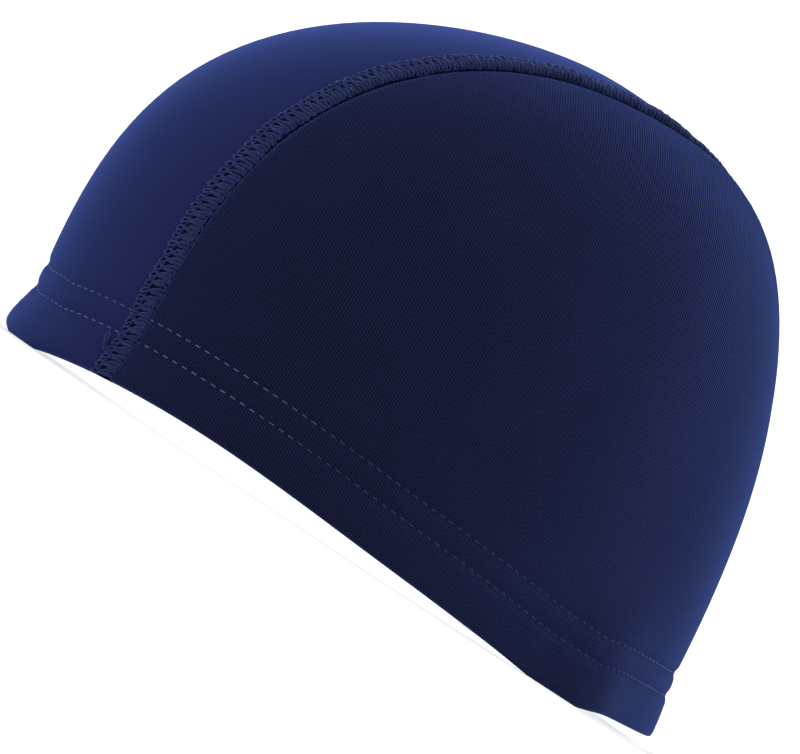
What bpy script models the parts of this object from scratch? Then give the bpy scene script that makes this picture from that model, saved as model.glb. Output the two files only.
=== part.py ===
"""A three-panel knitted swim cap that stands open on its rim.

The front of the cap faces -Y, the wearer's left is +X, and the rim rests on z = 0,
with the origin under the middle of the cap.
A centre panel runs from the forehead over the crown to the nape, and a side panel
covers each ear. A raised overlock band closes each of the two joins. The cloth is
turned up inside at the rim as a hem of two layers.

The whole cap is drawn on one flat chart, a disc of radius 1: its middle is the
crown, its edge the rim, and chart x and y run as X and Y do. The panels are cut
from that disc along the joins, and one function carries any chart point onto the
dome.
"""

import math

import bmesh
import bpy
import numpy as np
from mathutils import Vector

# Driving sizes, in metres
RIM_LENGTH = 0.200
RIM_WIDTH = 0.152
CROWN_HEIGHT = 0.1408
FABRIC_THICKNESS = 0.0012
LOWER_ROW_HEIGHT = 0.0122
ROW_SPACING = 0.0064
HEM_TAIL = 0.0034
ROW_PINCH = 0.0007
BAND_WIDTH = 0.0060
BAND_RISE = 0.0009
BAND_TUCK = 0.0004
PIECE_GAP = 0.0003
EAR_ARCH = 0.0055
NAPE_ARCH = 0.0032
HEM_FLARE = 0.0016
BROW_FLARE = 0.0030
CORNER_FOLD = 0.0027
FOLD_HEIGHT = 0.040

# Roundness of the dome: 2 is an ellipse, more is squarer
SIDE_ROUNDNESS = 2.85
LENGTH_ROUNDNESS = 2.45
PLAN_ROUNDNESS = 2.1
NAPE_WIDENING = 0.06

# Fullness of the dome towards the front and the back.
# Columns: climb (share of the way from rim to crown), front, back
FULLNESS = (
    (0.00, 1.005, 1.015),
    (0.15, 1.083, 0.98),
    (0.35, 1.142, 0.96),
    (0.55, 1.06, 0.97),
    (0.75, 0.888, 1.03),
    (1.00, 0.80, 1.05),
)

# Half width of the centre panel on the chart.
# Columns: chart y (-1 at the front rim, 1 at the back rim), chart x of the join
JOIN_LINE = (
    (-0.90, 0.445),
    (-0.60, 0.300),
    (-0.30, 0.242),
    (-0.05, 0.246),
    (0.10, 0.192),
    (0.30, 0.132),
    (0.55, 0.135),
    (0.90, 0.205),
)

# How the rim lifts off the surface; below 0 it rests flat. The cap stands on its
# forehead, behind its left ear and on the right of its nape.
# Columns: bearing (degrees from the forehead, 90 the left ear, 180 the nape), share
# of EAR_ARCH, share of NAPE_ARCH
RIM_LIFT = (
    (0, -0.30, 0.00),
    (24, 0.58, 0.00),
    (48, 1.00, 0.00),
    (74, 0.66, 0.00),
    (90, 0.38, 0.00),
    (103, 0.07, 0.00),
    (109, -0.06, -0.06),
    (113, -0.06, -0.06),
    (119, 0.00, 0.38),
    (127, 0.00, 0.70),
    (150, 0.00, 1.00),
    (176, 0.00, 0.80),
    (197, -0.03, 0.00),
    (207, -0.03, 0.00),
    (222, 0.45, 0.00),
    (243, 0.85, 0.00),
    (268, 1.00, 0.00),
    (292, 1.00, 0.00),
    (314, 0.98, 0.00),
    (336, 0.58, 0.00),
    (360, -0.30, 0.00),
)

# Soft folds low on the cap.
# Columns: turn (degrees), half width (degrees), depth as a share of CORNER_FOLD
FOLDS = (
    (27, 8, 1.00),
    (47, 13, -0.50),
    (6, 13, -0.40),
)

# Section of an overlock band, from the centre panel's side to the side panel's.
# Columns: place across (-1 to 1), rise as a share of BAND_RISE
BAND_SECTION = (
    (-1.00, 0.10),
    (-0.62, 0.80),
    (0.00, 1.00),
    (0.62, 0.92),
    (1.00, 0.25),
)

# Fineness of the faceted solids
RINGS_ABOVE_HEM = 14
BAND_ROWS = 54
CENTRE_LINE_STEPS = 200
STEP = 1e-4
RIM_SNAP = 1e-3
HALVINGS = 40

NAVY_SIDE = (0.014, 0.016, 0.075, 1.0)
NAVY_CENTRE = (0.018, 0.022, 0.105, 1.0)
NAVY_THREAD = (0.026, 0.033, 0.125, 1.0)

HALF_LENGTH = RIM_LENGTH / 2
HALF_WIDTH = RIM_WIDTH / 2
UPPER_ROW_HEIGHT = LOWER_ROW_HEIGHT + ROW_SPACING
HEM_HEIGHT = UPPER_ROW_HEIGHT + HEM_TAIL
HEM_RAMP = FABRIC_THICKNESS
QUARTER_TURN = math.pi / 2
CLIMB_LENGTH = CROWN_HEIGHT * QUARTER_TURN
UP = Vector((0, 0, 1))


def spline(rows, column):
    """A natural cubic through a table's first column and the named one."""
    xs = np.array([row[0] for row in rows], float)
    ys = np.array([row[column] for row in rows], float)
    count = len(xs)
    gaps = np.diff(xs)
    slopes = np.diff(ys) / gaps
    matrix = np.eye(count)
    target = np.zeros(count)
    for i in range(1, count - 1):
        matrix[i, i - 1] = gaps[i - 1]
        matrix[i, i] = 2 * (gaps[i - 1] + gaps[i])
        matrix[i, i + 1] = gaps[i]
        target[i] = 6 * (slopes[i] - slopes[i - 1])
    bends = np.linalg.solve(matrix, target)

    def read(x):
        i = int(np.clip(np.searchsorted(xs, x) - 1, 0, count - 2))
        h = gaps[i]
        left = (xs[i + 1] - x) / h
        right = (x - xs[i]) / h
        curve = (left**3 - left) * bends[i] + (right**3 - right) * bends[i + 1]
        return float(left * ys[i] + right * ys[i + 1] + curve * h * h / 6)

    return read


def ease(share):
    """0 to 1 with level ends."""
    share = min(max(share, 0.0), 1.0)
    return share * share * (3 - 2 * share)


def bell(distance, half_width):
    """1 at no distance, falling smoothly to nearly 0 past two half widths."""
    return math.exp(-((distance / half_width) ** 2))


front_fullness = spline(FULLNESS, 1)
back_fullness = spline(FULLNESS, 2)
join_half_width = spline(JOIN_LINE, 1)
ear_lift = spline(RIM_LIFT, 1)
nape_lift = spline(RIM_LIFT, 2)


def climb_at(height):
    """Share of the climb from rim to crown at a small height above the rim."""
    return height / CLIMB_LENGTH


def rim_lift(across, along):
    """Height of the rim above the surface in a direction from the crown."""
    bearing = math.degrees(math.atan2(across, -along)) % 360
    return max(0.0, ear_lift(bearing) * EAR_ARCH + nape_lift(bearing) * NAPE_ARCH)


def fold_swell(turn, height):
    """How far the soft folds push the cloth out."""
    fade = 1 - ease(height / FOLD_HEIGHT)
    swell = sum(share * bell(turn - at, half) for at, half, share in FOLDS)
    return CORNER_FOLD * swell * fade


def hem_flare(along, height):
    """How far the turned-up hem springs out towards the rim, most over the brow."""
    spring = HEM_FLARE * (1 - ease(height / HEM_HEIGHT))
    brow = max(0.0, -along) ** 2 * (1 - ease(height / LOWER_ROW_HEIGHT))
    return spring + BROW_FLARE * brow


def row_pinch(height):
    """How far the two stitched rows draw the hem in."""
    half = ROW_SPACING / 5
    rows = bell(height - LOWER_ROW_HEIGHT, half) + bell(height - UPPER_ROW_HEIGHT, half)
    return ROW_PINCH * rows


def dome(x, y):
    """The outer face of the cap at a chart point, before the stitched rows draw it in."""
    radius = min(math.hypot(x, y), 1.0)
    across = x / radius if radius > 0 else 1.0
    along = y / radius if radius > 0 else 0.0
    climb = 1 - radius
    low = max(math.cos(climb * QUARTER_TURN), 1e-9)
    high = max(math.sin(climb * QUARTER_TURN), 1e-9)
    roundness = SIDE_ROUNDNESS * across**2 + LENGTH_ROUNDNESS * along**2
    scale = (low**roundness + high**roundness) ** (-1 / roundness)
    out = scale * low
    up = scale * high
    plan = 2 + (PLAN_ROUNDNESS - 2) * (1 - up)
    out *= (abs(across) ** plan + abs(along) ** plan) ** (-1 / plan)
    fullness = front_fullness(climb) if along < 0 else back_fullness(climb)
    out *= 1 + (fullness - 1) * abs(along) ** 1.5
    turn = math.degrees(math.asin(max(-1.0, min(1.0, along))))
    height = climb * CLIMB_LENGTH
    swell = fold_swell(turn, height) + hem_flare(along, height)
    width = HALF_WIDTH * (1 + NAPE_WIDENING * out * along)
    return Vector(
        (
            across * (width * out + swell),
            along * (HALF_LENGTH * out + swell),
            CROWN_HEIGHT * up + rim_lift(across, along) * (1 - up) ** 2,
        )
    )


def on_cloth(x, y, proud):
    """A point at a distance outside the dome, or inside it where proud is negative."""
    radius = math.hypot(x, y)
    if radius > 1 - RIM_SNAP:
        x, y, radius = x / radius, y / radius, 1.0
        outward = (dome(x - y * STEP, y + x * STEP) - dome(x, y)).cross(UP)
    else:
        across = dome(x + STEP, y) - dome(x - STEP, y)
        along = dome(x, y + STEP) - dome(x, y - STEP)
        outward = across.cross(along)
    height = (1 - radius) * CLIMB_LENGTH
    return dome(x, y) + outward.normalized() * (proud - row_pinch(height))


def cloth_depth(x, y):
    """Thickness of the cloth: two layers in the hem and one above it."""
    height = (1 - math.hypot(x, y)) * CLIMB_LENGTH
    layers = 2 - ease((height - HEM_HEIGHT) / HEM_RAMP)
    return FABRIC_THICKNESS * layers


def join_shift(y, distance):
    """Chart x of a line that runs beside the join, at a distance towards the ear."""
    x = join_half_width(y)
    inward = min(1.0, (1 - STEP) / math.hypot(x, y))
    near = dome(x * inward - STEP, y * inward)
    spread = dome(x * inward, y * inward) - near
    return x + distance * STEP / spread.length


def rim_crossing(distance, front):
    """Chart y where a line beside the join meets the rim."""
    near, far = (0.0, -1.0) if front else (0.0, 1.0)
    for _ in range(HALVINGS):
        middle = (near + far) / 2
        if math.hypot(join_shift(middle, distance), middle) < 1:
            near = middle
        else:
            far = middle
    return near


def ring_shares():
    """Chart radius of each ring of the mesh, from the crown to the rim."""
    heights = (
        HEM_HEIGHT + HEM_RAMP,
        HEM_HEIGHT,
        UPPER_ROW_HEIGHT,
        (UPPER_ROW_HEIGHT + LOWER_ROW_HEIGHT) / 2,
        LOWER_ROW_HEIGHT,
        LOWER_ROW_HEIGHT / 2,
        0.0,
    )
    rim_rings = [1 - climb_at(height) for height in heights]
    top = rim_rings[0]
    upper = [top * i / RINGS_ABOVE_HEM for i in range(RINGS_ABOVE_HEM)]
    return upper + rim_rings


def chart_point(column, row, rings):
    """Place on the disc of one point of a square grid, whose rings become circles."""
    ring = max(abs(column), abs(row))
    if ring == 0:
        return 0.0, 0.0
    if abs(column) >= abs(row):
        angle = math.pi / 4 * row / column
        angle += math.pi if column < 0 else 0.0
    else:
        angle = QUARTER_TURN - math.pi / 4 * column / row
        angle += math.pi if row < 0 else 0.0
    return rings[ring] * math.cos(angle), rings[ring] * math.sin(angle)


def chart_mesh():
    """The whole disc as one flat grid of quads."""
    rings = ring_shares()
    reach = len(rings) - 1
    flat = bmesh.new()
    verts = {}
    for row in range(-reach, reach + 1):
        for column in range(-reach, reach + 1):
            x, y = chart_point(column, row, rings)
            verts[column, row] = flat.verts.new((x, y, 0))
    for row in range(-reach, reach):
        for column in range(-reach, reach):
            corners = [(column + i, row + j) for i, j in ((0, 0), (1, 0), (1, 1), (0, 1))]
            depths = [max(abs(i), abs(j)) for i, j in corners]
            inner = depths.index(min(depths))
            quad = [verts[corner] for corner in corners[inner:] + corners[:inner]]
            if depths.count(min(depths)) == 1:
                flat.faces.new((quad[0], quad[1], quad[2]))
                flat.faces.new((quad[0], quad[2], quad[3]))
            else:
                flat.faces.new(quad)
    return flat


def cut_along(flat, distance, side, keep_inside):
    """Cuts the chart along a line beside one join and keeps one part of it."""
    for vert in flat.verts:
        vert.co.x /= join_shift(vert.co.y, distance)
    bmesh.ops.bisect_plane(
        flat,
        geom=flat.verts[:] + flat.edges[:] + flat.faces[:],
        dist=1e-5,
        plane_co=(side, 0, 0),
        plane_no=(side, 0, 0),
        clear_outer=keep_inside,
        clear_inner=not keep_inside,
    )
    for vert in flat.verts:
        vert.co.x *= join_shift(vert.co.y, distance)


def thicken(flat):
    """The closed shell of cloth whose outer face is the dome over a flat chart piece."""
    shell = bmesh.new()
    outer = {}
    inner = {}
    for vert in flat.verts:
        x, y = vert.co.x, vert.co.y
        outer[vert] = shell.verts.new(on_cloth(x, y, 0))
        inner[vert] = shell.verts.new(on_cloth(x, y, -cloth_depth(x, y)))
    for face in flat.faces:
        shell.faces.new([outer[vert] for vert in face.verts])
        shell.faces.new([inner[vert] for vert in reversed(face.verts)])
    for edge in flat.edges:
        if not edge.is_boundary:
            continue
        loop = edge.link_loops[0]
        a, b = loop.vert, loop.link_loop_next.vert
        shell.faces.new((outer[b], outer[a], inner[a], inner[b]))
    flat.free()
    return shell


def material(name, colour, roughness):
    """A plain cloth material."""
    made = bpy.data.materials.new(name)
    made.use_nodes = True
    shader = made.node_tree.nodes["Principled BSDF"]
    shader.inputs["Base Color"].default_value = colour
    shader.inputs["Roughness"].default_value = roughness
    shader.inputs["Metallic"].default_value = 0.0
    return made


def add_piece(name, shape, colour, roughness, parent):
    """Turns a finished bmesh into a named object."""
    mesh = bpy.data.meshes.new(name)
    shape.to_mesh(mesh)
    shape.free()
    mesh.shade_smooth()
    mesh.set_sharp_from_angle(angle=math.radians(50))
    piece = bpy.data.objects.new(name, mesh)
    bpy.context.scene.collection.objects.link(piece)
    piece.data.materials.append(material(name, colour, roughness))
    piece.parent = parent
    return piece


def centre_panel():
    """The strip from forehead to nape, between the two joins."""
    flat = chart_mesh()
    edge = -(BAND_WIDTH / 2 + PIECE_GAP)
    cut_along(flat, edge, 1, True)
    cut_along(flat, edge, -1, True)
    return thicken(flat)


def side_panel(side):
    """The panel over one ear, from its join down to the rim."""
    flat = chart_mesh()
    cut_along(flat, BAND_WIDTH / 2 + PIECE_GAP, side, False)
    return thicken(flat)


def seam_band(side):
    """The raised overlock band that lies along one join, from rim to rim."""
    lines = []
    for place, rise in BAND_SECTION:
        lines.append((place * BAND_WIDTH / 2, rise * BAND_RISE, False))
    for place, _ in reversed(BAND_SECTION[:: len(BAND_SECTION) - 1]):
        lines.append((place * BAND_WIDTH / 2, -BAND_TUCK, True))
    band = bmesh.new()
    rows = []
    for row in range(BAND_ROWS + 1):
        share = row / BAND_ROWS
        ring = []
        for distance, proud, inside in lines:
            front = rim_crossing(distance, True)
            back = rim_crossing(distance, False)
            y = front + (back - front) * share
            x = join_shift(y, distance)
            depth = cloth_depth(x, y) if inside else 0
            ring.append(band.verts.new(on_cloth(side * x, y, proud - depth)))
        rows.append(ring)
    count = len(lines)
    for near, far in zip(rows, rows[1:]):
        for i in range(count):
            j = (i + 1) % count
            band.faces.new((near[i], near[j], far[j], far[i]))
    band.faces.new(rows[0])
    band.faces.new(reversed(rows[-1]))
    bmesh.ops.recalc_face_normals(band, faces=band.faces[:])
    return band


def middle_of_length():
    """Y halfway between the foremost and the rearmost point of the centre line."""
    steps = range(-CENTRE_LINE_STEPS, CENTRE_LINE_STEPS + 1)
    line = [dome(0, step / CENTRE_LINE_STEPS).y for step in steps]
    return (min(line) + max(line)) / 2


def clear_scene():
    """Removes whatever the scene holds."""
    for thing in list(bpy.data.objects):
        bpy.data.objects.remove(thing, do_unlink=True)


def main():
    """Builds the cap."""
    clear_scene()
    cap = bpy.data.objects.new("swim_cap", None)
    bpy.context.scene.collection.objects.link(cap)
    cap.location.y = -middle_of_length()
    add_piece("centre_panel", centre_panel(), NAVY_CENTRE, 0.62, cap)
    for side, word in ((1, "left"), (-1, "right")):
        add_piece(f"{word}_panel", side_panel(side), NAVY_SIDE, 0.66, cap)
        add_piece(f"{word}_seam", seam_band(side), NAVY_THREAD, 0.7, cap)


main()
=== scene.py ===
"""A knitted swim cap: a centre panel, two side panels, overlock seams and a stitched hem.

Lengths are in metres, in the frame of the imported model: the forehead faces -Y, the
wearer's left is +X and the rim rests on the floor at z = 0.

The cap is drawn on one flat chart, a disc of radius 1 whose middle is the crown and
whose edge is the rim, with chart x and y running as X and Y do. The panels, the
overlock bands and the hem's stitches are all laid on the dome from places there.
"""

import logging
import math
import sys
from dataclasses import dataclass
from enum import Enum
from typing import Any, Optional, Sequence, Union

import bmesh
import bpy
import numpy as np
from mathutils import Matrix, Vector


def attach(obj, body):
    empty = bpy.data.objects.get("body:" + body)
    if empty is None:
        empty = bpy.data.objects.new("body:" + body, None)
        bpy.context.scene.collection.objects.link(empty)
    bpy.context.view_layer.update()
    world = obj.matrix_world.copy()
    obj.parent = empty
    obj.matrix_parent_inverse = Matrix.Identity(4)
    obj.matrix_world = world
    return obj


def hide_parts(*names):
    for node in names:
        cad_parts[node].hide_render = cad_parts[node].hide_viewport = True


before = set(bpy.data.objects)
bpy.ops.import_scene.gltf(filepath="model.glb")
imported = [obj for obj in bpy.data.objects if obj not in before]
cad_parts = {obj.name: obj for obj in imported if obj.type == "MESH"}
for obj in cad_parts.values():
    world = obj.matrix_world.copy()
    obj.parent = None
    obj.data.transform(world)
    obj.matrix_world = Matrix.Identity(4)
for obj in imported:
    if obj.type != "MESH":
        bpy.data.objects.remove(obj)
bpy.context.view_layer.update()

LOG = logging.getLogger("swim_cap")
BODY = "root"
QUARTER_TURN = math.pi / 2
TINY = 1e-9

Rows = Sequence[Sequence[float]]


class Side(Enum):
    """The side of the wearer's head that a piece lies on."""

    LEFT = 1
    RIGHT = -1

    @property
    def word(self) -> str:
        """The side's name in lower case."""
        return self.name.lower()


class SmoothTable:
    """A natural cubic curve through two columns of a short table."""

    def __init__(self, rows: Rows, column: int = 1) -> None:
        """Works out the curve.

        Args:
            rows: the table, with places in its first column.
            column: the column that holds the values.
        """
        self.places = np.array([row[0] for row in rows], float)
        self.values = np.array([row[column] for row in rows], float)
        count = len(self.places)
        gaps = np.diff(self.places)
        slopes = np.diff(self.values) / gaps
        matrix = np.eye(count)
        target = np.zeros(count)
        for i in range(1, count - 1):
            matrix[i, i - 1] = gaps[i - 1]
            matrix[i, i] = 2 * (gaps[i - 1] + gaps[i])
            matrix[i, i + 1] = gaps[i]
            target[i] = 6 * (slopes[i] - slopes[i - 1])
        self.bends = np.linalg.solve(matrix, target)

    def at(self, place: np.ndarray) -> np.ndarray:
        """Reads the curve.

        Args:
            place: where to read it.

        Returns:
            The values there.
        """
        i = np.clip(np.searchsorted(self.places, place) - 1, 0, len(self.places) - 2)
        gap = self.places[i + 1] - self.places[i]
        left = (self.places[i + 1] - place) / gap
        right = 1 - left
        curve = (left**3 - left) * self.bends[i] + (right**3 - right) * self.bends[i + 1]
        return left * self.values[i] + right * self.values[i + 1] + curve * gap**2 / 6


def ease(share: np.ndarray) -> np.ndarray:
    """0 to 1 with level ends."""
    share = np.clip(share, 0.0, 1.0)
    return share * share * (3 - 2 * share)


def bell(distance: np.ndarray, half_width: float) -> np.ndarray:
    """1 at no distance, falling smoothly to nearly 0 past two half widths."""
    return np.exp(-((distance / half_width) ** 2))


@dataclass(frozen=True)
class CapForm:
    """The dome of cloth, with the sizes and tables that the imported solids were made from.

    The dip and the puff beside the seams are the only ones that the solids don't have.
    """

    rim_length: float = 0.200
    rim_width: float = 0.152
    crown_height: float = 0.1408
    fabric_thickness: float = 0.0012
    lower_row: float = 0.0122
    row_spacing: float = 0.0064
    hem_tail: float = 0.0034
    row_pinch: float = 0.0007
    band_width: float = 0.0060
    ear_arch: float = 0.0055
    nape_arch: float = 0.0032
    hem_flare: float = 0.0016
    brow_flare: float = 0.0030
    corner_fold: float = 0.0027
    fold_height: float = 0.040
    side_roundness: float = 2.85
    length_roundness: float = 2.45
    plan_roundness: float = 2.1
    nape_widening: float = 0.06
    # How quickly the fullness of brow and nape fades towards the ears.
    fullness_power: float = 1.5
    # Half width of the line that a stitched row draws in, as a share of the row spacing.
    pinch_share: float = 0.2
    step: float = 1e-4
    rim_snap: float = 1e-3
    middle_points: int = 401
    halvings: int = 40
    # Fullness along the cap: share of the climb, in front, at the back.
    fullness: Rows = (
        (0.00, 1.005, 1.015),
        (0.15, 1.083, 0.98),
        (0.35, 1.142, 0.96),
        (0.55, 1.06, 0.97),
        (0.75, 0.888, 1.03),
        (1.00, 0.80, 1.05),
    )
    # Half width of the centre panel on the chart: chart y, chart x.
    join_line: Rows = (
        (-0.90, 0.445),
        (-0.60, 0.300),
        (-0.30, 0.242),
        (-0.05, 0.246),
        (0.10, 0.192),
        (0.30, 0.132),
        (0.55, 0.135),
        (0.90, 0.205),
    )
    # Lift of the rim: bearing, share of ear_arch, share of nape_arch.
    rim_lift: Rows = (
        (0, -0.30, 0.00),
        (24, 0.58, 0.00),
        (48, 1.00, 0.00),
        (74, 0.66, 0.00),
        (90, 0.38, 0.00),
        (103, 0.07, 0.00),
        (109, -0.06, -0.06),
        (113, -0.06, -0.06),
        (119, 0.00, 0.38),
        (127, 0.00, 0.70),
        (150, 0.00, 1.00),
        (176, 0.00, 0.80),
        (197, -0.03, 0.00),
        (207, -0.03, 0.00),
        (222, 0.45, 0.00),
        (243, 0.85, 0.00),
        (268, 1.00, 0.00),
        (292, 1.00, 0.00),
        (314, 0.98, 0.00),
        (336, 0.58, 0.00),
        (360, -0.30, 0.00),
    )
    # Folds at the back corner: turn from the ear in degrees, half width, share of depth.
    folds: Rows = (
        (27, 8, 1.00),
        (47, 13, -0.50),
        (6, 13, -0.40),
    )
    # The side panel dips beside the overlock band: depth and half width of the dip.
    seam_dip: float = 0.0017
    seam_dip_width: float = 0.0011
    seam_dip_fade: float = 0.002
    # Behind the crown the panel then puffs out: height, place past the band, half width,
    # and the chart y over which it grows.
    seam_puff: float = 0.0014
    seam_puff_place: float = 0.0065
    seam_puff_width: float = 0.0045
    seam_puff_start: float = 0.12

    def __post_init__(self) -> None:
        """Works out the smooth tables and the places that follow from the sizes."""
        keep = object.__setattr__
        keep(self, "front_fullness", SmoothTable(self.fullness, 1))
        keep(self, "back_fullness", SmoothTable(self.fullness, 2))
        keep(self, "join_table", SmoothTable(self.join_line))
        keep(self, "ear_lift", SmoothTable(self.rim_lift, 1))
        keep(self, "nape_lift", SmoothTable(self.rim_lift, 2))
        keep(self, "climb_length", self.crown_height * QUARTER_TURN)
        keep(self, "upper_row", self.lower_row + self.row_spacing)
        keep(self, "hem_height", self.upper_row + self.hem_tail)
        count = self.middle_points
        line = self._raw_dome(np.zeros(count), np.linspace(-1, 1, count))[:, 1]
        keep(self, "middle", (line.min() + line.max()) / 2)

    def _raw_dome(self, x: np.ndarray, y: np.ndarray) -> np.ndarray:
        """The dome before it is centred along Y.

        Args:
            x: chart x of each place.
            y: chart y of each place.

        Returns:
            One row of X, Y and Z for each place.
        """
        radius = np.minimum(np.hypot(x, y), 1.0)
        safe = np.where(radius > 0, radius, 1.0)
        across = np.where(radius > 0, x / safe, 1.0)
        along = np.where(radius > 0, y / safe, 0.0)
        climb = 1 - radius
        low = np.maximum(np.cos(climb * QUARTER_TURN), TINY)
        high = np.maximum(np.sin(climb * QUARTER_TURN), TINY)
        roundness = self.side_roundness * across**2 + self.length_roundness * along**2
        scale = (low**roundness + high**roundness) ** (-1 / roundness)
        out = scale * low
        up = scale * high
        plan = 2 + (self.plan_roundness - 2) * (1 - up)
        out = out * (np.abs(across) ** plan + np.abs(along) ** plan) ** (-1 / plan)
        front = self.front_fullness.at(climb)
        fullness = np.where(along < 0, front, self.back_fullness.at(climb))
        out = out * (1 + (fullness - 1) * np.abs(along) ** self.fullness_power)
        turn = np.degrees(np.arcsin(np.clip(along, -1.0, 1.0)))
        up_cloth = climb * self.climb_length
        swell = sum(share * bell(turn - at, half) for at, half, share in self.folds)
        swell = self.corner_fold * swell * (1 - ease(up_cloth / self.fold_height))
        swell = swell + self.hem_flare * (1 - ease(up_cloth / self.hem_height))
        brow = np.maximum(-along, 0.0) ** 2 * (1 - ease(up_cloth / self.lower_row))
        swell = swell + self.brow_flare * brow
        width = self.rim_width / 2 * (1 + self.nape_widening * out * along)
        bearing = np.degrees(np.arctan2(across, -along)) % 360
        ear = self.ear_lift.at(bearing) * self.ear_arch
        lift = ear + self.nape_lift.at(bearing) * self.nape_arch
        height = self.crown_height * up + np.maximum(lift, 0.0) * (1 - up) ** 2
        length = self.rim_length / 2 * out + swell
        return np.stack([across * (width * out + swell), along * length, height], -1)

    def dome(self, x: np.ndarray, y: np.ndarray) -> np.ndarray:
        """The outer face of the cap, before the stitched rows draw it in.

        Args:
            x: chart x of each place.
            y: chart y of each place.

        Returns:
            One row of X, Y and Z for each place.
        """
        return self._raw_dome(x, y) - np.array([0.0, self.middle, 0.0])

    def height_at(self, x: np.ndarray, y: np.ndarray) -> np.ndarray:
        """Distance up the cloth from the rim."""
        return (1 - np.minimum(np.hypot(x, y), 1.0)) * self.climb_length

    def outward(self, x: np.ndarray, y: np.ndarray) -> np.ndarray:
        """Directions square to the cloth, pointing out of the cap.

        Args:
            x: chart x of each place.
            y: chart y of each place.

        Returns:
            One unit vector for each place.
        """
        radius = np.hypot(x, y)
        rim = radius > 1 - self.rim_snap
        step = self.step
        across = self.dome(x + step, y) - self.dome(x - step, y)
        along = self.dome(x, y + step) - self.dome(x, y - step)
        found = np.cross(across, along)
        safe = np.where(radius > 0, radius, 1.0)
        edge_x, edge_y = x / safe, y / safe
        back = self.dome(edge_x, edge_y)
        ahead = self.dome(edge_x - edge_y * step, edge_y + edge_x * step)
        level = np.cross(ahead - back, np.array([0.0, 0.0, 1.0]))
        found = np.where(rim[:, None], level, found)
        return found / np.linalg.norm(found, axis=1, keepdims=True)

    def pinch(self, height: np.ndarray) -> np.ndarray:
        """How far the two stitched rows draw the hem in.

        Args:
            height: distance up the cloth from the rim.

        Returns:
            The depth at each height.
        """
        half = self.row_spacing * self.pinch_share
        rows = bell(height - self.lower_row, half) + bell(height - self.upper_row, half)
        return self.row_pinch * rows

    def cloth(self, x: np.ndarray, y: np.ndarray, proud: np.ndarray) -> np.ndarray:
        """Points at a distance outside the cloth, or inside it where that is negative.

        Args:
            x: chart x of each place.
            y: chart y of each place.
            proud: distance out from the outer face.

        Returns:
            One row of X, Y and Z for each place.
        """
        drawn = self.pinch(self.height_at(x, y)) + self.dip(x, y)
        return self.dome(x, y) + self.outward(x, y) * (proud - drawn)[:, None]

    def join(self, y: np.ndarray) -> np.ndarray:
        """Half width of the centre panel on the chart."""
        return self.join_table.at(y)

    def spread(self, y: np.ndarray) -> np.ndarray:
        """Metres on the dome for one unit of chart x, beside the join.

        Args:
            y: chart y of each place.

        Returns:
            The scale at each place.
        """
        x = self.join(y)
        inward = np.minimum(1.0, (1 - self.step) / np.hypot(x, y))
        near = self.dome(x * inward - self.step, y * inward)
        return np.linalg.norm(self.dome(x * inward, y * inward) - near, axis=1) / self.step

    def beside_join(self, y: np.ndarray, distance: float) -> np.ndarray:
        """Chart x of a line beside the join, at a distance towards the ear."""
        return self.join(y) + distance / self.spread(y)

    def dip(self, x: np.ndarray, y: np.ndarray) -> np.ndarray:
        """Depth of the side panel where the overlock band holds it down, less its puff.

        Args:
            x: chart x of each place.
            y: chart y of each place.

        Returns:
            The depth below the dome, which is negative where the panel puffs out.
        """
        away = (np.abs(x) - self.join(y)) * self.spread(y) - self.band_width / 2
        fade = ease((away + self.seam_dip_fade) / self.seam_dip_fade)
        puff = self.seam_puff * bell(away - self.seam_puff_place, self.seam_puff_width)
        puff = puff * ease(y / self.seam_puff_start)
        return (self.seam_dip * bell(np.maximum(away, 0), self.seam_dip_width) - puff) * fade

    def rim_crossing(self, distance: float, front: bool) -> float:
        """Chart y where a line beside the join meets the rim.

        Args:
            distance: how far the line lies from the join, towards the ear.
            front: whether the forehead's crossing is meant, and not the nape's.

        Returns:
            The crossing's chart y.
        """
        near, far = (0.0, -1.0) if front else (0.0, 1.0)
        for _ in range(self.halvings):
            middle = (near + far) / 2
            y = np.array([middle])
            if np.hypot(self.beside_join(y, distance), y)[0] < 1:
                near = middle
            else:
                far = middle
        return near


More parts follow.
